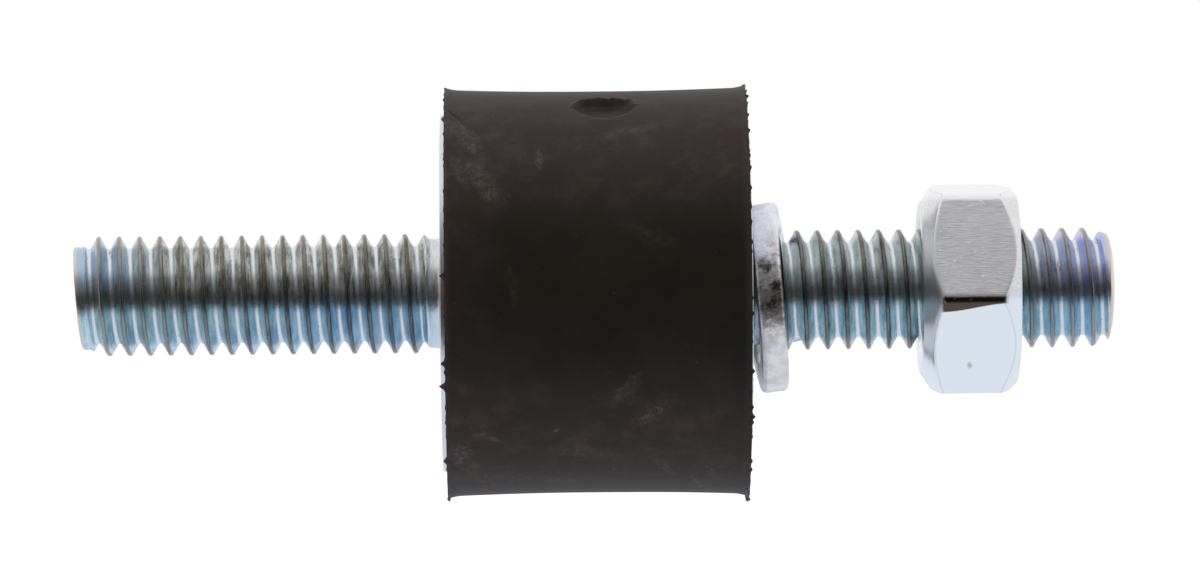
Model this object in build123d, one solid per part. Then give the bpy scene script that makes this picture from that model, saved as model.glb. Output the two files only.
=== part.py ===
from build123d import *
import os
from math import asin, cos, degrees, radians, tan

# Rubber-metal bobbin mount, male on both ends, with a spring washer and a hexagon nut.
# Millimetres.  +X runs along the studs towards the nut, +Z is up, and the origin is the
# centre of the rubber.  The studs' screw threads are cylinders of the major diameter.

# --- driving dimensions ----------------------------------------------------------------
mount_length = 15.0          # over the outer faces of the two bonded plates
stud_length = 18.0           # each stud, from its plate's outer face to its tip

rubber_end_diameter = 19.94
rubber_waist_diameter = 19.66
rubber_setback = 0.1         # the plates stand this far proud of the rubber's ends
lip_height = 0.12            # swelling of the rubber at each mould edge
lip_width = 0.55
flash_thickness = 0.14       # thin fin left in the mould's joint at each end
flash_diameter = 20.5
flash_drop = 0.12            # the fin is wider at the bottom

gate_diameter = 2.8          # torn scar of the moulding gate, high on the front side
gate_depth = 0.45
gate_along = 0.45
gate_angle = 65.0            # degrees up from the front, towards the top
gate_stub_diameter = 1.4
gate_stub_depth = 0.25

plate_diameter = 17.5
plate_thickness = 1.6
plate_edge_chamfer = 0.3

thread_diameter = 5.88       # M6 as plated, over the crests
neck_diameter = 5.35         # plain shank, as rolled
neck_fillet = 0.3
tip_chamfer = 0.5
left_neck = 0.6
right_neck = 1.8             # long enough for the spring washer to hang on
left_tip_slope = 4.5         # degrees, from the shear that cropped the wire
right_tip_dome = 0.15

washer_bore_diameter = 6.4
washer_outer_diameter = 9.24
washer_section = 1.3
washer_edge_bevel = 0.12
washer_pitch = 1.335         # axial rise of the open coil in one turn, left hand
washer_gap_angle = 7.0
washer_gap_at = 235.5        # degrees from the top, round by the front
washer_drop = 0.35           # its centre hangs below the stud's axis
washer_middle = 1.225        # from the plate's face to the middle of the coil
washer_lean = 9.2            # degrees, bottom edge outwards
washer_yaw = 1.2             # degrees, back edge outwards

nut_across_flats = 9.8
nut_thickness = 4.75
nut_corner_radius = 0.6
nut_face_diameter = 9.0      # circle where the chamfer meets the end face
nut_chamfer_angle = 38.0
nut_bore_diameter = 5.94
nut_countersink_diameter = 6.7
nut_from_plate = 8.42
nut_corner_below_front = 5.7  # degrees

# --- derived sizes ---------------------------------------------------------------------
plate_face = mount_length / 2
plate_inner = plate_face - plate_thickness
rubber_end = plate_face - rubber_setback
stud_tip = plate_face + stud_length
thread_radius = thread_diameter / 2
neck_radius = neck_diameter / 2


def turned(edges):
    """Revolve a closed outline, drawn as (along X, radius), about the X axis."""
    return revolve(make_face(edges), axis=Axis.X)


def plate_and_stud(neck_length, tip_dome):
    """One cold-headed piece on the +X side: bonded plate, neck, threaded shank and tip."""
    rim = plate_diameter / 2
    thread_start = plate_face + neck_length
    tip_edge = stud_tip - tip_dome
    tip_radius = thread_radius - tip_chamfer
    root = (plate_face, neck_radius + neck_fillet)
    shank = (plate_face + neck_fillet, neck_radius)
    edges = [
        *Polyline(
            (stud_tip, 0),
            (plate_inner, 0),
            (plate_inner, rim - plate_edge_chamfer),
            (plate_inner + plate_edge_chamfer, rim),
            (plate_face, rim),
            root,
        ).edges(),
        CenterArc((shank[0], root[1]), neck_fillet, 180, 90),
        *Polyline(
            shank,
            (thread_start, neck_radius),
            (thread_start + thread_radius - neck_radius, thread_radius),
            (tip_edge - tip_chamfer, thread_radius),
            (tip_edge, tip_radius),
        ).edges(),
    ]
    if tip_dome:
        crown = (tip_radius**2 + tip_dome**2) / (2 * tip_dome)
        spread = degrees(asin(tip_radius / crown))
        edges.append(CenterArc((stud_tip - crown, 0), crown, 0, spread))
    else:
        edges.append(Line((tip_edge, tip_radius), (stud_tip, 0)))
    return turned(edges)


def left_stud():
    """The stud's mirror image, with a short neck and a tip cropped out of square."""
    whole = mirror(plate_and_stud(left_neck, 0), about=Plane.YZ)
    offcut = Box(4, 12, 12, align=(Align.MAX, Align.CENTER, Align.CENTER))
    cut_at = tan(radians(left_tip_slope)) * (thread_radius - tip_chamfer) - stud_tip
    return whole - Pos(cut_at, 0, 0) * Rot(0, left_tip_slope, 0) * offcut


def right_stud():
    """The stud that carries the washer and the nut, with a slightly domed tip."""
    return plate_and_stud(right_neck, right_tip_dome)


def flash_fin():
    """Thin ring of flash, a little off centre, so it stands out most at the bottom."""
    inside = rubber_waist_diameter / 2 - 1
    disc = Rot(0, 90, 0) * (Cylinder(flash_diameter / 2, flash_thickness) - Cylinder(inside, 1))
    return Pos(rubber_end - flash_thickness / 2, 0, -flash_drop) * disc


def gate_scar():
    """Torn crater where the gate broke off, with its stub standing in the middle."""
    crater = Cylinder(gate_diameter / 2, 2 * gate_depth)
    on_floor = (Align.CENTER, Align.CENTER, Align.MIN)
    stub = Cylinder(gate_stub_diameter / 2, gate_depth - gate_stub_depth, align=on_floor)
    scar = crater - Pos(0, 0, -gate_depth) * stub
    to_surface = Pos(0, 0, rubber_waist_diameter / 2)
    return Pos(gate_along, 0, 0) * Rot(90 - gate_angle, 0, 0) * to_surface * scar


def rubber_body(left_plate, right_plate):
    """Moulded spool: slightly waisted, swollen at the mould edges, bonded round the plates."""
    end = rubber_end_diameter / 2
    waist = rubber_waist_diameter / 2
    lip_start = rubber_end - lip_width
    edges = [ThreePointArc((-lip_start, end), (0, waist), (lip_start, end))]
    for sign in (-1, 1):
        crest = (sign * (rubber_end - lip_height), end + lip_height)
        edges += Polyline(
            (sign * lip_start, end), crest, (sign * rubber_end, end), (sign * rubber_end, 0)
        ).edges()
    edges.append(Line((-rubber_end, 0), (rubber_end, 0)))
    spool = turned(edges)
    fin = flash_fin()
    spool = spool + fin + mirror(fin, about=Plane.YZ)
    return spool - gate_scar() - left_plate - right_plate


def spring_washer():
    """Split lock washer: a rectangular wire coiled left hand for almost one whole turn."""
    mean_radius = (washer_bore_diameter + washer_outer_diameter) / 4
    width = (washer_outer_diameter - washer_bore_diameter) / 2
    rise = washer_pitch * (360 - washer_gap_angle) / 360
    coil = Helix(washer_pitch, rise, mean_radius, lefthand=True)
    across = Plane(coil @ 0, x_dir=(1, 0, 0), z_dir=coil % 0)
    section = Rectangle(width, washer_section)
    wire = across * chamfer(section.vertices(), washer_edge_bevel)
    ring = Pos(0, 0, -rise / 2) * sweep(wire, coil, is_frenet=True)
    first_end = washer_gap_at - washer_gap_angle / 2
    about_stud = Rot(first_end - 180, 0, 0) * Rot(0, 90, 0)
    tilt = Rot(0, -washer_lean, 0) * Rot(0, 0, -washer_yaw)
    return Pos(plate_face + washer_middle, 0, -washer_drop) * tilt * about_stud * ring


def hexagon_nut():
    """Hexagon prism trimmed by a cone at both ends, with a countersunk bore."""
    half = nut_thickness / 2
    corner = nut_across_flats / 2 / cos(radians(30))
    prism = extrude(RegularPolygon(corner, 6), half, both=True)
    prism = fillet(prism.edges().filter_by(Axis.Z), nut_corner_radius)
    face = nut_face_diameter / 2
    trim = (corner - face) * tan(radians(nut_chamfer_angle))
    barrel = Polyline(
        (0, -half), (face, -half), (corner, trim - half), (corner, half - trim), (face, half), (0, half),
        close=True,
    )
    nut = prism & revolve(Plane.XZ * make_face(barrel), axis=Axis.Z)
    bore = nut_bore_diameter / 2
    sink = nut_countersink_diameter / 2
    inwards = (Align.CENTER, Align.CENTER, Align.MIN)
    countersink = Pos(0, 0, -half) * Cone(sink, bore, sink - bore, align=inwards)
    nut -= Cylinder(bore, nut_thickness)
    nut -= countersink
    nut -= mirror(countersink, about=Plane.XY)
    about_stud = Rot(nut_corner_below_front - 90, 0, 0) * Rot(0, 90, 0)
    return Pos(plate_face + nut_from_plate + half, 0, 0) * about_stud * nut


left = left_stud()
right = right_stud()
pieces = {
    "rubber_body": rubber_body(left, right),
    "left_stud": left,
    "right_stud": right,
    "spring_washer": spring_washer(),
    "hex_nut": hexagon_nut(),
}

os.makedirs("parts", exist_ok=True)
for name, piece in pieces.items():
    export_step(piece, f"parts/{name}.step")
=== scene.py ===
"""Looks of a rubber-metal bobbin mount with a spring washer and a hexagon nut.

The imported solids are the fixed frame. Each section makes one piece over its solid. Sizes of
the pieces are in millimetres, and angles run from the top, round by the front.
"""

import math
from typing import NamedTuple

import bmesh
import bpy
import numpy as np
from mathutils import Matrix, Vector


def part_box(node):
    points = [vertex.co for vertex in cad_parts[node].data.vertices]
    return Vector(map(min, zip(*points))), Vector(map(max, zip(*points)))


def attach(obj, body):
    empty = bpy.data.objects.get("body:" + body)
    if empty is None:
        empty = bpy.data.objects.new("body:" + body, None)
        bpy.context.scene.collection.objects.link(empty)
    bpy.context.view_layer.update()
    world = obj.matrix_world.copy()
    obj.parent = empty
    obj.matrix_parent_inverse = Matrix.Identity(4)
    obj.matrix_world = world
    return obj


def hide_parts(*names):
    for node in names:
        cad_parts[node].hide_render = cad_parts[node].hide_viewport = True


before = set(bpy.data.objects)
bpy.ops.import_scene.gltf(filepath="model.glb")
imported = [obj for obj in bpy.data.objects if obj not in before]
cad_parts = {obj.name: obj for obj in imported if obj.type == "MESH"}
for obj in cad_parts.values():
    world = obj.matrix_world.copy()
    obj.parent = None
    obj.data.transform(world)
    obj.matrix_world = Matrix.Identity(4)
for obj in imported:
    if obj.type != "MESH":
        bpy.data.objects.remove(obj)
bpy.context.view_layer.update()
MM = 0.001

# ---------------------------------------------------------------------------------------
# Studio. A level view square to the studs from in front, a plain white room with a pale
# floor well below the held part, and a dark band of room in front for the metal to mirror.

VIEW_DISTANCE = 330 * MM
VIEW_WIDTH = 58.88 * MM
VIEW_ROLL = math.radians(0.53)
VIEW_TURN = math.radians(-0.57)
AIM_X = 0.25 * MM
AIM_Z = 0.14 * MM
view = bpy.data.cameras.new("view")
view.sensor_width = 36
view.lens = view.sensor_width * VIEW_DISTANCE / VIEW_WIDTH
view.clip_start = 0.01
camera = bpy.data.objects.new("view", view)
camera.location = (AIM_X + VIEW_DISTANCE * math.tan(VIEW_TURN), -VIEW_DISTANCE, AIM_Z)
camera.rotation_euler = (math.radians(90), VIEW_ROLL, VIEW_TURN)
bpy.context.scene.collection.objects.link(camera)
bpy.context.scene.camera = camera
bpy.context.scene.view_settings.view_transform = "Standard"


class Signal:
    """One output of a node. Arithmetic on it adds Math nodes to the same tree."""

    def __init__(self, recipe, socket):
        self.recipe = recipe
        self.socket = socket

    def math(self, operation, *others):
        return self.recipe.node("Math", {"operation": operation}, dict(enumerate((self, *others))))

    def __add__(self, other):
        return self.math("ADD", other)

    def __sub__(self, other):
        return self.math("SUBTRACT", other)

    def __rsub__(self, other):
        return self.recipe.node("Math", {"operation": "SUBTRACT"}, {0: other, 1: self})

    def __mul__(self, other):
        return self.math("MULTIPLY", other)

    def __truediv__(self, other):
        return self.math("DIVIDE", other)

    def __pow__(self, other):
        return self.math("POWER", other)

    def __neg__(self):
        return self * -1

    def __abs__(self):
        return self.math("ABSOLUTE")

    __radd__ = __add__
    __rmul__ = __mul__

    def step(self, low, high):
        """0 below low, 1 above high and smooth between them; low may be the larger."""
        settings = {"interpolation_type": "SMOOTHSTEP", "clamp": True}
        return self.recipe.node("MapRange", settings, {"Value": self, "From Min": low, "From Max": high})


class Recipe:
    """The node tree of one material or of the world, filled through one method."""

    def __init__(self, tree):
        self.tree = tree

    def node(self, kind, settings=None, inputs=None, outlet=0):
        made = self.tree.nodes.new("ShaderNode" + kind)
        for name, value in (settings or {}).items():
            setattr(made, name, value)
        for name, value in (inputs or {}).items():
            self.feed(made.inputs[name], value)
        return Signal(self, made.outputs[outlet] if made.outputs else None)

    def feed(self, socket, value):
        if isinstance(value, Signal):
            self.tree.links.new(value.socket, socket)
        elif isinstance(value, tuple) and len(value) == 3 and socket.type == "RGBA":
            socket.default_value = (*value, 1)
        else:
            socket.default_value = value

    def place(self):
        """Place on the piece, in metres."""
        return self.node("TexCoord", outlet=3)

    def split(self, vector):
        """The three parts of a vector."""
        outputs = self.node("SeparateXYZ", None, {0: vector}).socket.node.outputs
        return [Signal(self, socket) for socket in outputs]

    def rays(self, *kinds):
        """One signal for each kind of ray, 1 on rays of that kind."""
        outputs = self.node("LightPath").socket.node.outputs
        return [Signal(self, outputs[f"Is {kind} Ray"]) for kind in kinds]

    def blend(self, share, first, second):
        """Colour that goes from first to second as share goes from 0 to 1."""
        mixed = self.node("Mix", {"data_type": "RGBA", "clamp_factor": True}, outlet=2)
        inputs = mixed.socket.node.inputs
        for number, value in ((0, share), (6, first), (7, second)):
            self.feed(inputs[number], value)
        return mixed

    def noise(self, place, scale, detail=3.0, roughness=0.55, stretch=(1, 1, 1), shift=(0, 0, 0)):
        """Noise from 0 to 1 around 0.5, its pattern drawn out along the axes of small stretch."""
        moved = self.node("Mapping", None, {"Vector": place, "Scale": stretch, "Location": shift})
        inputs = {"Vector": moved, "Scale": scale, "Detail": detail, "Roughness": roughness}
        return self.node("TexNoise", None, inputs)


WHITE = (1, 1, 1)
UPPER_GREY = (0.28, 0.275, 0.285)
DARK_BAND = (0.060, 0.045, 0.030)
LOWER_BLUE = (0.84, 0.91, 1.0)
ROOM_LIGHT = 0.8
TOWARDS_FRONT = (0.05, 0.75)
GREY_HEIGHT = (0.98, 0.60)
DARK_HEIGHT = (0.50, 0.06)
world = bpy.data.worlds.new("white_room")
bpy.context.scene.world = world
world.use_nodes = True
world.node_tree.nodes.clear()
room = Recipe(world.node_tree)
_, way_y, way_z = room.split(room.node("TexCoord"))
in_front = (-way_y).step(*TOWARDS_FRONT)
mirror_colour = room.blend(in_front * way_z.step(*GREY_HEIGHT), WHITE, UPPER_GREY)
mirror_colour = room.blend(in_front * way_z.step(*DARK_HEIGHT), mirror_colour, DARK_BAND)
seen, mirrored, through = room.rays("Camera", "Glossy", "Transmission")
lit = room.node("Background", None, {"Color": WHITE, "Strength": ROOM_LIGHT})
shown = room.node("Background", None, {"Color": WHITE, "Strength": 1.0})
reflected = room.node("Background", None, {"Color": mirror_colour, "Strength": 1.0})
with_mirror = room.node("MixShader", None, {0: mirrored, 1: lit, 2: reflected})
surround = room.node("MixShader", None, {0: (seen + through).step(0, 1), 1: with_mirror, 2: shown})
room.node("OutputWorld", None, {"Surface": surround})

LAMP_LENGTH = 0.30
LAMP_DEPTH = 0.20
LAMP_WATTS = 0.55
LAMP_PLACE = (-0.06, -0.16, 0.36)
LAMP_TILT = math.radians(24)
LAMP_SWING = math.radians(-9)
lamp = bpy.data.lights.new("soft_box", "AREA")
lamp.shape = "RECTANGLE"
lamp.size = LAMP_LENGTH
lamp.size_y = LAMP_DEPTH
lamp.energy = LAMP_WATTS
lamp_object = bpy.data.objects.new("soft_box", lamp)
lamp_object.location = LAMP_PLACE
lamp_object.rotation_euler = (LAMP_TILT, LAMP_SWING, 0)
lamp_object.visible_glossy = False
bpy.context.scene.collection.objects.link(lamp_object)


def new_material(name):
    """A material with an empty tree, and its recipe."""
    material = bpy.data.materials.new(name)
    material.use_nodes = True
    material.node_tree.nodes.clear()
    return material, Recipe(material.node_tree)


# The floor is matt paper that glows a little in the view. In the metal it mirrors as pale
# blue close to the part, and as the dark band further forward.

FLOOR_LEVEL = -32 * MM
FLOOR_HALF = 3.0
FLOOR_GLOW = 0.35
BAND_ON_FLOOR = (0.043, 0.056)
floor_mesh = bpy.data.meshes.new("floor")
quarters = [(-1, -1), (1, -1), (1, 1), (-1, 1)]
floor_corners = [(x * FLOOR_HALF, y * FLOOR_HALF, FLOOR_LEVEL) for x, y in quarters]
floor_mesh.from_pydata(floor_corners, [], [(0, 1, 2, 3)])
floor = bpy.data.objects.new("floor", floor_mesh)
bpy.context.scene.collection.objects.link(floor)
floor_material, paper = new_material("pale_paper")
straight, paper_mirrored = paper.rays("Camera", "Glossy")
paper_place = paper.place()
paper_colour = paper.blend(paper.noise(paper_place, 4.0) * 0.04, (0.93, 0.93, 0.93), (0.86, 0.86, 0.86))
matt = paper.node("BsdfDiffuse", None, {"Color": paper_colour})
glow = paper.node("Emission", None, {"Color": WHITE, "Strength": straight * FLOOR_GLOW})
paper_shader = paper.node("AddShader", None, {0: matt, 1: glow})
_, floor_y, _ = paper.split(paper_place)
mirrored_floor = paper.blend((-floor_y).step(*BAND_ON_FLOOR), LOWER_BLUE, DARK_BAND)
in_the_metal = paper.node("Emission", None, {"Color": mirrored_floor, "Strength": 1.0})
paper_surface = paper.node("MixShader", None, {0: paper_mirrored, 1: paper_shader, 2: in_the_metal})
paper.node("OutputMaterial", None, {"Surface": paper_surface})
floor_mesh.materials.append(floor_material)

# ---------------------------------------------------------------------------------------
# Rubber body. Natural rubber moulded and bonded round the two plates: waisted sides, a
# swollen lip and a ragged fin of flash at each end, and the torn scar of the gate.

RUBBER_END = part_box("rubber_body")[1][0] / MM
LEFT_SHORTER = 0.13
END_RADIUS = 9.97
WAIST_RADIUS = 9.83
LIP_SWELL = 0.08
LIP_REACH = 0.35
SKIN_UNEVEN = 0.010
FIN_THICKNESS = 0.13
FIN_EDGE = 0.07
FIN_LIMIT = 10.235
FIN_DROP = 0.12
GATE_ANGLE = math.radians(25)
GATE_X = 0.45
GATE_RIM = 1.45
GATE_DEPTH = 0.36
FLAP_HEIGHT = 0.13
CRUMB_RIGHT = 0.13
CRUMB_LEFT = 0.07
NIB_WIDTH = 0.11
PLATE_RADIUS = 8.75
PLATE_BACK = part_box("right_stud")[0][0] / MM

NIBS = [
    # end, angle in radians, length
    (-1, 0.58, 0.12),
    (-1, 1.49, 0.26),
    (-1, 1.91, 0.22),
    (-1, 2.03, 0.30),
    (-1, 2.50, 0.12),
    (1, 0.95, 0.10),
    (1, 2.2, 0.12),
]
CREASES = [
    # start and stop, each as x and arc from the top, then depth and width
    ((-6.95, 4.9), (-5.95, 6.9), 0.07, 0.10),
    ((-5.95, 6.9), (-5.45, 8.2), 0.05, 0.08),
    ((-6.85, 22.6), (-6.0, 25.8), 0.06, 0.09),
    ((-5.9, 25.2), (-4.8, 28.7), 0.06, 0.08),
]


def lattice(rows, columns, seam_shift=0):
    """Quads of a rows by columns grid that closes round its columns.

    The last column joins the first one, seam_shift rows further on.
    """
    r, c = np.meshgrid(np.arange(rows - 1), np.arange(columns), indexing="ij")
    right = (c + 1) % columns
    lift = np.where(c == columns - 1, seam_shift, 0)
    corners = np.stack([r * columns + c, (r + 1) * columns + c,
                        (r + 1 + lift) * columns + right, (r + lift) * columns + right], axis=-1)
    inside = (r + 1 + lift) < rows
    return corners[inside]


def make_piece(name, points, quads, material, attributes=None):
    """Mesh from points in millimetres: doubles merged, faces turned outwards, shaded smooth."""
    mesh = bpy.data.meshes.new(name)
    mesh.from_pydata((points * MM).tolist(), [], quads.tolist())
    for label, values in (attributes or {}).items():
        layer = mesh.attributes.new(label, "FLOAT", "POINT")
        layer.data.foreach_set("value", np.ascontiguousarray(values, dtype=np.float32))
    work = bmesh.new()
    work.from_mesh(mesh)
    bmesh.ops.remove_doubles(work, verts=work.verts, dist=0.0008 * MM)
    bmesh.ops.dissolve_degenerate(work, edges=work.edges, dist=0.0002 * MM)
    bmesh.ops.recalc_face_normals(work, faces=work.faces)
    work.to_mesh(mesh)
    work.free()
    mesh.shade_smooth()
    mesh.materials.append(material)
    piece = bpy.data.objects.new(name, mesh)
    bpy.context.scene.collection.objects.link(piece)
    return piece


def around_axis(x, radius, angle):
    """Points at these distances along and from the X axis, at an angle from the top."""
    return np.stack([x + 0 * angle, -radius * np.sin(angle), radius * np.cos(angle)], axis=-1)


def ripple(x, angle, seed, waves=7, size=1.0):
    """Smooth seeded noise on a drum: a sum of sines of x and of whole turns of the angle."""
    rng = np.random.default_rng(seed)
    total = np.zeros(np.broadcast(x, angle).shape)
    for _ in range(waves):
        turns = rng.integers(2, 26)
        along = rng.uniform(0.2, 2.2) / size
        total = total + np.sin(turns * angle + along * x + rng.uniform(0, 6.3)) / waves
    return total


def smooth(low, high, value):
    """0 below low, 1 above high, and a smooth cubic between them."""
    t = np.clip((value - low) / (high - low), 0, 1)
    return t * t * (3 - 2 * t)


def hump(distance, width):
    """A bell of height 1: e to the power of minus the square of distance over width."""
    return np.exp(-((distance / width) ** 2))


def spread(count, crowd_at, crowd_width, crowd):
    """count values from 0 to 1, packed crowd times closer round crowd_at."""
    t = np.linspace(0, 1, 2001)
    density = 1 + (crowd - 1) * hump(t - crowd_at, crowd_width)
    total = np.concatenate([[0], np.cumsum((density[1:] + density[:-1]) / 2)])
    return np.interp(np.linspace(0, total[-1], count), total, t)


def along_line(x, arc, start, stop):
    """Share of the way along a line on the drum, and the distance to the side of it."""
    direction = np.subtract(stop, start)
    length = np.hypot(*direction)
    unit = direction / length
    run = ((x - start[0]) * unit[0] + (arc - start[1]) * unit[1]) / length
    off = (arc - start[1]) * unit[0] - (x - start[0]) * unit[1]
    return run, off


def flash_fin(radius, angle, end, from_end):
    """Height of the fin beyond the radius: ragged, and taller at the bottom and on the right."""
    low = 0.5 - 0.5 * np.cos(angle)
    tear = 0.5 + 0.5 * ripple(0 * end, angle * 3, 11, 8)
    height = np.where(end > 0, 0.14 + 0.24 * low * tear + 0.08 * tear, 0.03 + 0.20 * low**4 * tear)
    limit = FIN_LIMIT - FIN_DROP * np.cos(angle)
    fin = np.minimum(radius + height, limit) - radius
    return fin * smooth(FIN_THICKNESS, FIN_EDGE, from_end)


def gate_scar(x, angle):
    """Depth of the torn crater where the gate was, and the flap of skin on its upper rim.

    The distance from its middle is divided by a ragged factor. Inside the rim the surface
    falls, steeply above and gently below, and a bell along the upper rim stands up.
    """
    beside = WAIST_RADIUS * (angle - GATE_ANGLE)
    away = np.hypot((x - GATE_X) * 0.95, beside * 1.2)
    torn = 1 + 0.15 * ripple(x, angle * 3, 21, 9, 0.5) + 0.12 * ripple(x, angle * 5, 24, 9, 0.15)
    reach = away / torn
    wall_foot = 0.95 - 0.55 * smooth(-0.2, 0.6, beside)
    uneven = 1 + 0.25 * ripple(x, angle * 2, 8, 9, 0.5)
    ragged = 0.9 + 0.5 * ripple(x, angle * 9, 5, 9, 0.12)
    flap = FLAP_HEIGHT * hump(reach - 1.42, 0.16) * smooth(0.2, -0.9, beside) * ragged
    return flap - GATE_DEPTH * smooth(GATE_RIM, wall_foot, reach) * uneven


def crease_relief(x, arc):
    """Each crease is a narrow groove along a wavering line, with a low shelf beside it."""
    relief = 0.0
    for start, stop, depth, width in CREASES:
        run, off = along_line(x, arc, start, stop)
        waver = off + 0.07 * np.sin(5 * run + start[1])
        shelf = smooth(-0.35, 0.0, waver) * smooth(0.5, 0.05, waver)
        mask = smooth(-0.15, 0.1, run) * smooth(1.15, 0.9, run)
        relief = relief + mask * depth * (0.3 * shelf - hump(waver, width))
    return relief


def ragged_edge(angle, end):
    """Length of the crumbs and nibs that stick out of each end's edge, along X."""
    rag = ripple(0 * end, angle * 7, 61, 9) + 0.6 * ripple(0 * end, angle * 17, 62, 9)
    crumbs = smooth(0.05, 0.9, rag) * np.where(end > 0, CRUMB_RIGHT, CRUMB_LEFT)
    for face, turn, length in NIBS:
        crumbs = crumbs + length * hump((angle - turn) * WAIST_RADIUS, NIB_WIDTH) * (end == face)
    return crumbs


def end_rings(face, end_x, edge):
    """Rings from the side's last row over the flat end to the plate, and in along its back."""
    size = np.hypot(edge[:, 1], edge[:, 2])
    rings = []
    for share, ring_x in ((0.06, edge[:, 0]), (0.15, end_x), (0.6, end_x), (1.0, end_x)):
        ring = edge.copy()
        ring[:, 0] = ring_x
        ring[:, 1:] *= ((size + (PLATE_RADIUS - size) * share) / size)[:, None]
        rings.append(ring)
    behind_plate = rings[-1].copy()
    behind_plate[:, 0] = face * PLATE_BACK
    centre = behind_plate * np.array([1.0, 0.0, 0.0])
    return [*rings, behind_plate, centre]


def rubber_surface():
    """The spool as points, with a radius that depends on x and on the angle.

    The radius is the waist plus a square law up to the ends, a lip that swells as a bell
    towards each end, a thin fin of flash of ragged height, the gate's scar, and
    creases by the left end. The edges stick out along X in crumbs.
    """
    columns, rows = 480, 150
    angle = 2 * np.pi * spread(columns + 1, GATE_ANGLE / (2 * np.pi), 0.03, 3.2)[:-1][None, :]
    across = 0.5 - 0.5 * np.cos(np.pi * spread(rows, 0.5, 0.12, 1.6))
    left_end = LEFT_SHORTER - RUBBER_END
    x = (left_end + across * (RUBBER_END - left_end))[:, None]
    end = np.sign(x)
    from_end = np.where(end > 0, RUBBER_END, -left_end) - abs(x)
    radius = WAIST_RADIUS + (END_RADIUS - WAIST_RADIUS) * (x / RUBBER_END) ** 2
    radius = radius + LIP_SWELL * hump(from_end, LIP_REACH) + SKIN_UNEVEN * ripple(x, angle, 3, 9, 2.0)
    radius = radius + flash_fin(radius, angle, end, from_end)
    radius = radius + gate_scar(x, angle) + crease_relief(x, WAIST_RADIUS * angle)
    side_x = x + end * ragged_edge(angle, end) * smooth(0.30, 0.0, from_end)
    side = around_axis(side_x, radius, angle)
    left_rings = end_rings(-1, left_end, side[0])
    right_rings = end_rings(1, RUBBER_END, side[-1])
    return np.stack([*left_rings[::-1], *side, *right_rings])


SMEARS = [
    # x, arc from the top, half length, half width, turn in degrees, strength
    (-6.2, 7.0, 1.6, 0.50, 62, 0.55),
    (-5.3, 9.9, 1.5, 0.55, 55, 0.45),
    (-6.6, 9.2, 1.0, 0.30, 70, 0.35),
    (-2.66, 8.5, 0.75, 0.16, 84, 0.45),
    (1.6, 6.6, 1.4, 0.35, -22, 0.32),
    (-5.15, 23.15, 0.7, 0.22, 20, 0.45),
    (-6.5, 24.6, 1.3, 0.50, 70, 0.60),
    (-5.4, 27.2, 1.6, 0.50, 62, 0.55),
    (-3.0, 26.9, 2.2, 0.45, 8, 0.35),
    (1.4, 20.3, 1.1, 0.35, 130, 0.36),
    (2.6, 21.7, 1.4, 0.50, 145, 0.36),
    (0.2, 27.3, 2.4, 0.40, 5, 0.35),
    (3.2, 25.6, 1.0, 0.30, 60, 0.45),
    (4.9, 27.6, 1.1, 0.18, 72, 1.1),
    (5.5, 26.2, 0.9, 0.22, 60, 0.45),
    (-2.0, 22.7, 0.13, 0.10, 0, 2.2),
    (0.82, 25.8, 0.12, 0.10, 0, 2.2),
    (2.4, 12.6, 1.6, 0.40, 25, 0.09),
    (-0.6, 24.4, 1.9, 0.50, 12, 0.30),
    (-4.0, 15.0, 1.2, 0.35, 80, 0.08),
]
SMEAR_WARP = 1.1
BLACK = (0.0080, 0.0060, 0.0026)
CLOUDED_BLACK = (0.0112, 0.0076, 0.0042)
BROWN_BLACK = (0.0225, 0.0125, 0.0108)
RUBBER_DUST = (0.120, 0.098, 0.090)
SCUFFED_EDGE = (0.055, 0.045, 0.038)

rubber_material, mix = new_material("moulded_rubber")
place = mix.place()
px, py, pz = (part / MM for part in mix.split(place))
around = (-py).math("ARCTAN2", pz) * WAIST_RADIUS
skin = mix.node("CombineXYZ", None, {0: px, 1: py, 2: pz})
warp_x = (mix.noise(skin, 1.3, 5, 0.65) - 0.5) * SMEAR_WARP
warp_around = (mix.noise(skin, 1.1, 5, 0.65, shift=(9, 4, 7)) - 0.5) * SMEAR_WARP
marks = 0.0
for mark_x, mark_arc, length, width, turn, strength in SMEARS:
    cosine, sine = math.cos(math.radians(turn)), math.sin(math.radians(turn))
    dx = px - mark_x + warp_x
    dy = around - mark_arc + warp_around
    run = (dx * cosine + dy * sine) / length
    off = (dy * cosine - dx * sine) / width
    marks = (run * run + off * off).step(1.7, 0.0) * strength + marks
broken = mix.noise(skin, 3.4, 6, 0.72).step(0.42, 0.70)
# Painted sheen: the rubber is painted lighter and browner towards its top and bottom, where the view
# grazes it, and a little towards the left end; the pale haze is laid on there as well.
outer = abs(pz).step(2.5, 7.5) * 0.8 + px.step(-3.5, -7.0) * 0.35
haze = mix.noise(skin, 0.75, 6, 0.68).step(0.44, 0.72)
dust = mix.noise(skin, 16.0, 2, 0.5).step(0.69, 0.76)
specks = mix.node("TexVoronoi", {"feature": "F1"}, {"Vector": skin, "Scale": 1.1}).step(0.10, 0.045)
fine = mix.noise(place, 9000.0, 3)
edge_band = abs(px).step(RUBBER_END - 0.45, RUBBER_END - 0.05)
pale = marks * (broken * 0.85 + 0.15) + haze * outer * 0.19 + dust * 0.10 + specks * broken * 0.2
cloudy = mix.noise(skin, 0.35, 4, 0.6).step(0.35, 0.65)
black = mix.blend(cloudy, BLACK, CLOUDED_BLACK)
black = mix.blend(outer, black, BROWN_BLACK)
colour = mix.blend(pale, black, RUBBER_DUST)
colour = mix.blend(edge_band * fine * 0.5, colour, SCUFFED_EDGE)
grain = mix.noise(place, 5200.0, 4, 0.6) + mix.noise(place, 900.0, 3) * 1.5
bumps = mix.node("Bump", None, {"Height": grain + marks * 0.4, "Strength": 0.16, "Distance": 0.06 * MM})


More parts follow.
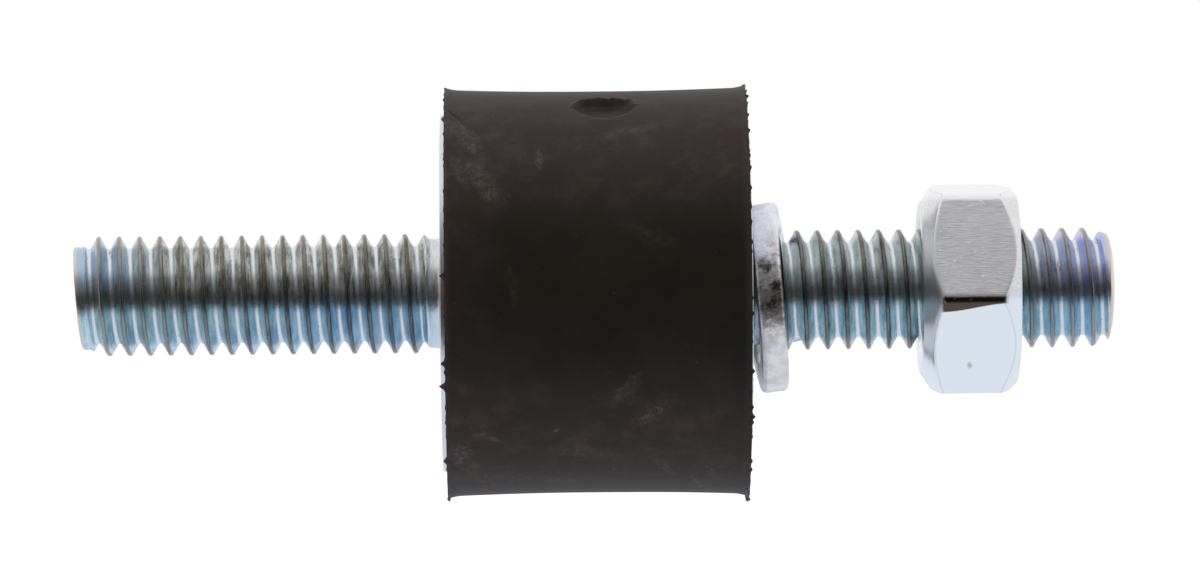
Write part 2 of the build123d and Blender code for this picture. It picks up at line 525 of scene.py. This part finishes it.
def finish_with(recipe, **sockets):
    """Adds the finish shader with these sockets and joins it to the surface."""
    inputs = {name.replace("_", " "): value for name, value in sockets.items()}
    shader = recipe.node("BsdfPrincipled", None, inputs)
    recipe.node("OutputMaterial", None, {"Surface": shader})


rough = pale * 0.35 + 0.56 + (fine - 0.5) * 0.10
finish_with(mix, Base_Color=colour, Roughness=rough, Normal=bumps, Specular_IOR_Level=0.2)

points = rubber_surface()
rubber = make_piece("rubber_spool", points.reshape(-1, 3), lattice(*points.shape[:2]), rubber_material)
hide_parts("rubber_body")
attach(rubber, "mount")

# ---------------------------------------------------------------------------------------
# Studs. Each is one cold-headed piece of steel: the plate bonded in the rubber, a plain
# neck, and a rolled M6 thread whose turns fade in at the neck and run out at the tip.
# They are plated with zinc and passivated to a thin blue film.

PITCH = 1.0
PITCH_RADIUS = 2.675
CREST_RADIUS = 2.935
ROOT_RADIUS = 2.33
SHARP_CREST = 3.03
FLANK_SLOPE = 1.732
CREST_ROUNDING = 0.022
ROOT_ROUNDING = 1.6 * CREST_ROUNDING
SEAM_DEPTH = 0.02
SEAM_WIDTH = 0.022
CREST_WEAR = 0.012
PLATE_FACE = 7.5
PLATE_CHAMFER = 0.3
PLATE_EDGE = 0.06
NECK_FILLET = 0.3
STUD_COLUMNS = 112
HALF_TURN = np.array([0, 0.02, 0.04, 0.058, 0.078, 0.12, 0.19, 0.26, 0.33, 0.36, 0.39, 0.44])
TURN_SAMPLES = np.concatenate([HALF_TURN, [0.5], 1 - HALF_TURN[:0:-1]])
ROWS_PER_TURN = len(TURN_SAMPLES) - 1


class StudSizes(NamedTuple):
    """Where the two studs differ.

    The tip has a radius at its top and at its bottom. Behind a straight length it grows by
    the slope. The end is domed by a height and cut off at a lean. The phase is where the
    thread has its first crest, and the seed gives the wear of the crests.
    """

    end: float
    neck: float
    runout: float
    tip_top: float
    tip_bottom: float
    tip_length: float
    tip_slope: float
    dome: float
    lean: float
    phase: float
    seed: int


LEFT = StudSizes(end=25.5, neck=0.5, runout=0.5, tip_top=2.42, tip_bottom=2.62, tip_length=0.45,
                 tip_slope=1.6, dome=0.0, lean=math.tan(math.radians(4.5)), phase=0.305, seed=31)
RIGHT = StudSizes(end=25.42, neck=1.35, runout=0.4, tip_top=2.62, tip_bottom=2.62, tip_length=0.0,
                  tip_slope=0.35, dome=0.28, lean=0.0, phase=0.92, seed=41)


def turn_share(x, angle, phase):
    """Place in the thread's turn, from -0.5 to 0.5, with the crest at 0."""
    return (x / PITCH - phase - angle / (2 * np.pi) + 0.5) % 1 - 0.5


def thread_radius(x, angle, phase):
    """Radius of a right-hand thread at x and at an angle.

    A sharp 60 degree vee that repeats each pitch, cut off at the crest and the root by a
    soft minimum and maximum, with the faint seam that rolling leaves along the crest.
    """
    t = turn_share(x, angle, phase)
    vee = SHARP_CREST - FLANK_SLOPE * abs(t)
    capped = -CREST_ROUNDING * np.logaddexp(-vee / CREST_ROUNDING, -CREST_RADIUS / CREST_ROUNDING)
    floored = ROOT_ROUNDING * np.logaddexp(capped / ROOT_ROUNDING, ROOT_RADIUS / ROOT_ROUNDING)
    return floored - SEAM_DEPTH * hump(t, SEAM_WIDTH)


def helix_rows(first, turns, angle, phase):
    """Rows of x that follow the helix: x is the pitch times the row, plus its share of the turn."""
    steps = (first + np.arange(turns)[:, None] + TURN_SAMPLES[None, :-1]).reshape(-1, 1)
    return phase + steps * PITCH + PITCH * angle / (2 * np.pi)


def stud_head(stud, angle):
    """Plate and neck, turned from an outline of x and radius, from the middle of the back."""
    plate = PLATE_RADIUS
    outline = [(PLATE_BACK, 0), (PLATE_BACK, plate * 0.5), (PLATE_BACK, plate - PLATE_CHAMFER)]
    outline += [(PLATE_BACK + PLATE_CHAMFER, plate), (PLATE_FACE - PLATE_EDGE, plate)]
    outline += [(PLATE_FACE - PLATE_EDGE / 4, plate - PLATE_EDGE / 4), (PLATE_FACE, plate - PLATE_EDGE)]
    outline += [(PLATE_FACE, plate * share) for share in (0.85, 0.7, 0.55, 0.42)]
    outline += [(PLATE_FACE + NECK_FILLET * (1 - np.cos(a)), PITCH_RADIUS + NECK_FILLET * (1 - np.sin(a)))
                for a in np.linspace(0, np.pi / 2, 7)]
    straight_neck = stud.neck - NECK_FILLET
    outline += [(PLATE_FACE + NECK_FILLET + straight_neck * share, PITCH_RADIUS) for share in (0.5, 1.0)]
    outline = np.array(outline)
    return around_axis(outline[:, :1], outline[:, 1:], angle)


def stud_thread(stud, angle):
    """Thread and tip: helix rows held between the neck and the tip, then rings over the end.

    The radius is the thread's, faded in from the pitch radius at the neck, and no more than
    the tip's radius plus its slope times the distance from the tip. The end is domed by the
    fourth power of the radius and cut off aslant.
    """
    start = PLATE_FACE + stud.neck
    middle, half = (stud.tip_top + stud.tip_bottom) / 2, (stud.tip_top - stud.tip_bottom) / 2
    tip_radius = middle + half * np.cos(angle)
    stop = stud.end - stud.dome - stud.lean * (stud.tip_top - tip_radius * np.cos(angle))
    turns = int(np.ceil(stop.max() - start)) + 3
    x = helix_rows(np.floor(start - stud.phase) - 1, turns, angle, stud.phase)
    x = np.clip(x, start, stop)
    full = thread_radius(x, angle, stud.phase)
    worn = CREST_WEAR * ripple(x * 2.3, angle * 3, stud.seed, 9, 0.4) * smooth(2.7, 2.92, full)
    radius = PITCH_RADIUS + (full + worn - PITCH_RADIUS) * smooth(0, stud.runout, x - start)
    radius = np.minimum(radius, tip_radius + np.maximum(stop - x - stud.tip_length, 0) * stud.tip_slope)

    shares = np.array([1.0, 0.97, 0.9, 0.75, 0.55, 0.3, 0.0])[:, None]
    cap_radius = np.minimum(thread_radius(stop, angle, stud.phase), tip_radius) * shares
    cap_x = stud.end - stud.dome * shares**4 - stud.lean * (stud.tip_top - cap_radius * np.cos(angle))
    cap_x[0] = stop
    return around_axis(x, radius, angle), around_axis(cap_x, cap_radius, angle)


def stud_mesh(name, material, stud, half_turned):
    """One stud: head, thread and cap share their columns and are merged where they meet."""
    angle = 2 * np.pi * np.arange(STUD_COLUMNS)[None, :] / STUD_COLUMNS
    grids = [stud_head(stud, angle), *stud_thread(stud, angle)]
    quads, before = [], 0
    for grid, seam_shift in zip(grids, (0, ROWS_PER_TURN, 0)):
        quads.append(lattice(len(grid), STUD_COLUMNS, seam_shift) + before)
        before += len(grid) * STUD_COLUMNS
    points = np.concatenate(grids).reshape(-1, 3)
    if half_turned:
        points = points * np.array([-1.0, -1.0, 1.0])
    return make_piece(name, points, np.concatenate(quads), material)


SILVER = ((0.60, 0.63, 0.66), (0.80, 0.83, 0.86))
TEAL = ((0.27, 0.43, 0.48), (0.60, 0.77, 0.80))
DEEP_BLUE = ((0.22, 0.43, 0.66), (0.46, 0.68, 0.82))
STREAKED_GREY = ((0.17, 0.175, 0.15), (0.80, 0.83, 0.78))
GREY_TEAL = (0.48, 0.62, 0.64)
TIP_BLUES = ((0.38, 0.52, 0.64), (0.44, 0.50, 0.78))
CREST_BROWN = ((0.085, 0.066, 0.050), (0.20, 0.17, 0.145))
RUBBED_CREST = (0.36, 0.32, 0.28)
SOOT = (0.06, 0.045, 0.034)
TIP_TAN = ((0.50, 0.41, 0.30), (0.86, 0.78, 0.68))


def start_zinc(name):
    """A bright zinc to build on: its recipe, the place in metres and mm, two noises, silver."""
    material, mix = new_material(name)
    place = mix.place()
    position = [part / MM for part in mix.split(place)]
    cloud = mix.noise(place, 420.0, 4, 0.6)
    streak = mix.noise(place, 2600.0, 4, 0.65)
    return material, mix, place, position, cloud, streak, mix.blend(streak, *SILVER)


stud_zinc, mix, place, (px, py, pz), cloud, streak, silver = start_zinc("blue_zinc")
reach = (py * py + pz * pz) ** 0.5
lines = mix.noise(place, 4600.0, 6, 0.75, (1, 0.14, 0.14))
crest = reach.step(2.79, 2.88) * reach.step(3.05, 2.95)
flank = reach.step(2.355, 2.40) * reach.step(3.05, 2.95)
# Painted reflection: the blue film is painted teal to deep blue on the lower half of each stud and
# streaked grey on the upper half, split by height, as it looks mirroring the floor below and the room
# above.
upper = pz.step(-0.5, 0.5)
tipward = abs(px).step(20.0, 24.5)
on_right = px.step(-1, 1)
on_left = on_right.step(1, 0)
bluer_left = mix.noise(place, 260.0, 2).step(0.35, 0.65) * 0.4 + abs(px).step(20.0, 12.0) * 0.5
bluer = bluer_left * on_left + on_right * (tipward * 0.7 + 0.15)
hatched = lines.step(0.38, 0.62)
lower_film_reflection = mix.blend(bluer, mix.blend(hatched, *TEAL), mix.blend(hatched, *DEEP_BLUE))
upper_grey = mix.blend(lines.step(0.36, 0.62), *STREAKED_GREY)
upper_grey = mix.blend(on_right * 0.5, upper_grey, GREY_TEAL)
upper_film_reflection = mix.blend(tipward, upper_grey, mix.blend(on_right, *TIP_BLUES))
film_and_reflection = mix.blend(upper, lower_film_reflection, upper_film_reflection)
bare_neck = (-px).step(8.3, 8.0) * on_left
# Painted highlight: the thread roots are left bright silver, a thin highlight streak along each root.
film_cover_with_root_highlight = flank * (cloud.step(0.2, 0.55) * 0.3 + 0.65) * (1 - bare_neck * 0.7)
tinted = mix.blend(film_cover_with_root_highlight, silver, film_and_reflection)
brown = mix.blend(lines.step(0.35, 0.65), *CREST_BROWN)
brown = mix.blend(abs(px).step(15.0, 25.0) * 0.75, brown, RUBBED_CREST)
tinted = mix.blend(crest * 0.92, tinted, brown)
soot = lines.step(0.42, 0.34) * upper * 0.6 + mix.noise(place, 3300.0, 3, 0.6).step(0.70, 0.76) * 0.8
tinted = mix.blend(soot * abs(px).step(7.6, 7.9), tinted, SOOT)
from_left_tip = px + LEFT.end - LEFT.lean * (LEFT.tip_top - pz)
tip_edge = from_left_tip.step(0.20, 0.10) + px.step(RIGHT.end - 0.46, RIGHT.end - 0.36)
tinted = mix.blend(tip_edge * 0.9, tinted, mix.blend(lines, *TIP_TAN))
bumps = mix.node("Bump", None, {"Height": lines + cloud, "Strength": 0.30, "Distance": 0.05 * MM})
finish_with(mix, Base_Color=tinted, Metallic=1.0, Roughness=(streak - 0.5) * 0.18 + 0.30, Normal=bumps)

left = stud_mesh("stud_left", stud_zinc, LEFT, True)
right = stud_mesh("stud_right", stud_zinc, RIGHT, False)
for piece, node in ((left, "left_stud"), (right, "right_stud")):
    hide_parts(node)
    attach(piece, "mount")

# ---------------------------------------------------------------------------------------
# Spring washer. Square spring wire coiled left hand for nearly one turn, its edges rolled
# round, hung loose on the neck of the right stud and leaning out at the bottom.

WASHER_MEAN = 3.91
WASHER_WIDTH = 1.42
WASHER_SECTION = 1.3
WASHER_EDGE = 0.25
WASHER_PITCH = 1.335
WASHER_TURN = 353.0
WASHER_FIRST_END = 232.0
WASHER_MIDDLE = 8.675
WASHER_DROP = 0.35
WASHER_LEAN = -7.3
WASHER_YAW = -1.2
WASHER_REFLECTED_TINTS = ((0.84, 0.78, 0.76), (0.80, 0.79, 0.88))
WASHER_BLOTCH_AND_DARK_REFLECTION = (0.055, 0.047, 0.042)


def turn_matrix(axis, degrees):
    """Right-handed turn about X, Y or Z."""
    c, s = np.cos(np.radians(degrees)), np.sin(np.radians(degrees))
    first, second = {"X": (1, 2), "Y": (2, 0), "Z": (0, 1)}[axis]
    matrix = np.eye(3)
    matrix[first, first] = matrix[second, second] = c
    matrix[first, second], matrix[second, first] = -s, s
    return matrix


def rounded_rectangle(width, height, corner, steps):
    """Outline of a rectangle with quarter-circle corners, anticlockwise."""
    outline = []
    for quarter, (sx, sy) in enumerate(((1, 1), (-1, 1), (-1, -1), (1, -1))):
        sweep = np.linspace(quarter, quarter + 1, steps) * np.pi / 2
        outline.append(np.stack([sx * (width / 2 - corner) + corner * np.cos(sweep),
                                 sy * (height / 2 - corner) + corner * np.sin(sweep)], axis=-1))
    return np.concatenate(outline)


def shrunk(ring, share):
    """One ring drawn in towards its centre."""
    centre = ring.mean(axis=1, keepdims=True)
    return centre + (ring - centre) * share


def washer_points():
    """Rounded rectangle carried along a left-hand helix, then turned and leaned into place."""
    outline = rounded_rectangle(WASHER_WIDTH, WASHER_SECTION, WASHER_EDGE, 6)
    spin = np.radians(np.linspace(0, WASHER_TURN, 181))[:, None]
    rise = WASHER_PITCH * spin / (2 * np.pi) - WASHER_PITCH * np.radians(WASHER_TURN) / (4 * np.pi)
    pitch_angle = np.arctan(WASHER_PITCH / (2 * np.pi * WASHER_MEAN))
    out = WASHER_MEAN + outline[None, :, 0]
    along = outline[None, :, 1] * np.sin(pitch_angle)
    up = outline[None, :, 1] * np.cos(pitch_angle)
    turned = spin - along / WASHER_MEAN
    wire = np.stack([out * np.cos(turned), -out * np.sin(turned), rise + up], axis=-1)
    first, last = wire[:1], wire[-1:]
    closed = [shrunk(first, 0.0), shrunk(first, 0.6), wire, shrunk(last, 0.6), shrunk(last, 0.0)]
    place = turn_matrix("Y", WASHER_LEAN) @ turn_matrix("Z", WASHER_YAW)
    place = place @ turn_matrix("X", WASHER_FIRST_END - 180) @ turn_matrix("Y", 90)
    return np.concatenate(closed) @ place.T + np.array([WASHER_MIDDLE, 0, -WASHER_DROP])


washer_zinc, mix, place, (px, py, pz), cloud, streak, silver = start_zinc("washer_zinc")
blotch = mix.noise(place, 1100.0, 6, 0.72).step(0.42, 0.60)
dark_reflection_belt = pz.step(2.8, 0.8) * pz.step(-2.2, -0.6)
# Painted reflection: the coil is painted pinker grey on its lower part and lavender grey on its upper
# part, by height.
tinted = mix.blend(0.8, silver, mix.blend(pz.step(-1.0, 2.0), *WASHER_REFLECTED_TINTS))
# Painted dark reflection with real mottling: the dark blotches are faint all over the coil but crowd into
# a belt at mid height, where it mirrors the dark room in front.
tinted = mix.blend(blotch * (dark_reflection_belt * 0.85 + 0.12), tinted, WASHER_BLOTCH_AND_DARK_REFLECTION)
bumps = mix.node("Bump", None, {"Height": streak + cloud * 3, "Strength": 0.35, "Distance": 0.08 * MM})
finish_with(mix, Base_Color=tinted, Metallic=1.0, Roughness=blotch * 0.15 + 0.30, Normal=bumps)

points = washer_points()
washer = make_piece("split_washer", points.reshape(-1, 3), lattice(*points.shape[:2]), washer_zinc)
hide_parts("spring_washer")
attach(washer, "mount")

# ---------------------------------------------------------------------------------------
# Hexagon nut. Cold-formed hexagon with rounded corners, both faces turned to a steep
# chamfer that meets the flats in curves, a countersunk M6 tapped hole, bright zinc.

NUT_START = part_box("hex_nut")[0][0] / MM
NUT_THICKNESS = 4.75
NUT_FLATS = 9.8
NUT_CORNER = math.radians(95.7)
NUT_CORNER_RADIUS = 0.6
NUT_SINK_RADIUS = 3.35
NUT_SINK_DEPTH = 0.42
NUT_CREST = 2.53
NUT_ROOT = 3.02
NUT_PLAY = 0.05
NUT_CHAMFERS = [
    # radius of the flat end face, angle of the chamfer in degrees
    (4.15, 33.5),
    (4.62, 44.0),
]
FLAT_EDGE_ROW = 12
NUT_COLUMNS = 240
even_turn = np.arange(NUT_COLUMNS) / NUT_COLUMNS * 2 * np.pi
nut_turn = even_turn - 0.11 * np.sin(6 * even_turn)
nut_angle = (nut_turn + NUT_CORNER)[None, :]


def hexagon_radius(angle):
    """Distance to a hexagon with rounded corners, the first corner at angle 0.

    On a flat it is half the width across flats over the cosine of the angle from the flat's
    middle. Near a corner it is where the ray meets the corner's circle.
    """
    inside = NUT_FLATS / 2
    t = (angle + np.pi / 6) % (np.pi / 3) - np.pi / 6
    flat = inside / np.cos(np.pi / 6 - abs(t))
    centre = (inside - NUT_CORNER_RADIUS) / np.cos(np.pi / 6)
    corner = centre * np.cos(t) + np.sqrt(np.maximum(NUT_CORNER_RADIUS**2 - (centre * np.sin(t)) ** 2, 0))
    tangent_out = centre + NUT_CORNER_RADIUS * 0.866
    tangent = abs(t) < np.arctan2(NUT_CORNER_RADIUS * 0.5, tangent_out)
    return np.where(tangent, corner, flat)


def nut_half(face_radius, degrees):
    """Depths from the end face, and radii, from the countersink over the chamfer to the flats.

    The chamfer is a cone, so its depth on the flats grows with the hexagon's radius.
    """
    outer = hexagon_radius(nut_turn)
    chamfer = (outer - face_radius) * math.tan(math.radians(degrees))
    rows = [(NUT_SINK_DEPTH, NUT_SINK_RADIUS - NUT_SINK_DEPTH), (0.03, NUT_SINK_RADIUS - 0.03)]
    rows += [(0, NUT_SINK_RADIUS + 0.02)]
    flat_ring = face_radius - NUT_SINK_RADIUS
    rows += [(0, NUT_SINK_RADIUS + flat_ring * share) for share in (0.3, 0.6, 0.9, 0.985)]
    rows += [(chamfer * share, face_radius + (outer - face_radius) * share)
             for share in (0.03, 0.15, 0.4, 0.7, 0.94)]
    rows += [(chamfer + 0.03, outer - 0.004)]
    side = NUT_THICKNESS / 2 - chamfer
    rows += [(chamfer + 0.05 + side * share, outer) for share in (0.04, 0.15, 0.3)]
    return np.array([[depth + 0 * outer, reach + 0 * outer] for depth, reach in rows])


def nut_outside():
    """Rows from the left countersink round the outside to the right one, and a mask of the edge rows that
    carry the painted edge highlight.
    """
    near, far = (nut_half(*sizes) for sizes in NUT_CHAMFERS)
    far = far[::-1]
    far[:, 0] = NUT_THICKNESS - far[:, 0]
    whole = np.concatenate([near, far])
    ridge = np.zeros(whole[:, 1].shape)
    ridge[[FLAT_EDGE_ROW, -1 - FLAT_EDGE_ROW]] = 1
    return around_axis(whole[:, 0] + NUT_START, whole[:, 1], nut_angle), ridge


def nut_hole():
    """Tapped hole: rows on the right stud's helix, held between the countersinks.

    The vee swings a quarter of its slope to each side of the pitch radius, plus the play.
    It is cut at crest and root, and fades to the countersink's radius at both ends.
    """
    low, high = NUT_START + NUT_SINK_DEPTH, NUT_START + NUT_THICKNESS - NUT_SINK_DEPTH
    x = helix_rows(np.floor(low - RIGHT.phase) - 2, 9, nut_angle, RIGHT.phase)
    x = np.clip(x, low, high)
    fall = FLANK_SLOPE * abs(turn_share(x, nut_angle, RIGHT.phase))
    vee = PITCH_RADIUS + FLANK_SLOPE / 4 - fall + NUT_PLAY
    mouth = NUT_SINK_RADIUS - NUT_SINK_DEPTH
    faded = smooth(0, 0.25, x - low) * smooth(0, 0.25, high - x)
    return around_axis(x, mouth + (np.clip(vee, NUT_CREST, NUT_ROOT) - mouth) * faded, nut_angle)


NUT_BRIGHT = (0.86, 0.86, 0.87)
NUT_BRUSHED = (0.60, 0.60, 0.62)
EDGE_HIGHLIGHT_AND_SHADE = ((0.56, 0.58, 0.63), (1.0, 1.0, 1.0))
CORNER_STAINS = ((0.055, 0.030, 0.014), (0.62, 0.42, 0.20))
NICK_X = 18.15
NICK_Z = -3.77
NICK_BROWN = (0.34, 0.28, 0.20)

nut_zinc, mix, place, (px, py, pz), cloud, streak, silver = start_zinc("bright_zinc")
brushed = mix.noise(place, 15000.0, 4, 0.7, (0.10, 1, 1))
glints = mix.noise(place, 7000.0, 2, 0.5, (0.5, 1, 1)).step(0.66, 0.74)
upper = pz.step(-0.6, -0.3) * pz.step(4.6, 4.2)
# Painted highlights: the darker brushed streaks and the white glints are painted only on the upper part
# of the nut, where it catches the light.
tinted = mix.blend((brushed + cloud * 0.4).step(0.35, 1.0) * upper, NUT_BRIGHT, NUT_BRUSHED)
tinted = mix.blend(glints * upper * 0.8, tinted, WHITE)
# Painted highlight and shade: the edge row between chamfer and flats is painted white on the upper part
# of the nut and darker blue-grey below.
ridge = mix.node("Attribute", {"attribute_name": "ridge"}, outlet=2)
tinted = mix.blend(ridge * 0.45, tinted, mix.blend(upper, *EDGE_HIGHLIGHT_AND_SHADE))
from_face = px - NUT_START
across = (from_face / NUT_THICKNESS).step(0.17, 0.86)
wedge = (pz + (streak - 0.5) * 0.1).step(-0.36, -0.46) * (pz - across * 0.40).step(-1.16, -1.10)
wedge = wedge * (py + 4).step(0, -0.2) * from_face.step(0.75, 0.90) * from_face.step(4.10, 3.70)
gold = mix.noise(place, 2300.0, 3, 0.6).step(0.55, 0.64) * pz.step(-0.80, -0.60) * across.step(0.75, 0.45)
tinted = mix.blend(wedge * 0.95, tinted, mix.blend(gold, *CORNER_STAINS))
nick = ((px - NICK_X) ** 2 * 3.0 + (pz - NICK_Z) ** 2) ** 0.5
tinted = mix.blend((nick + (streak - 0.5) * 0.5).step(0.26, 0.06) * 0.6, tinted, NICK_BROWN)
scratches = brushed * upper * 0.5 + cloud
bumps = mix.node("Bump", None, {"Height": scratches, "Strength": 0.28, "Distance": 0.05 * MM})
finish_with(mix, Base_Color=tinted, Metallic=1.0, Roughness=(cloud - 0.5) * 0.10 + 0.25, Normal=bumps)

shell, shell_ridge = nut_outside()
hole = nut_hole()
shell_points, hole_points = shell.reshape(-1, 3), hole.reshape(-1, 3)
shell_quads = lattice(*shell.shape[:2])
hole_quads = lattice(*hole.shape[:2], ROWS_PER_TURN)[:, ::-1] + len(shell_points)
points = np.concatenate([shell_points, hole_points])
quads = np.concatenate([shell_quads, hole_quads])
ridge_values = np.concatenate([shell_ridge.ravel(), np.zeros(len(hole_points))])
nut = make_piece("nut_body", points, quads, nut_zinc, {"ridge": ridge_values})
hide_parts("hex_nut")
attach(nut, "nut")
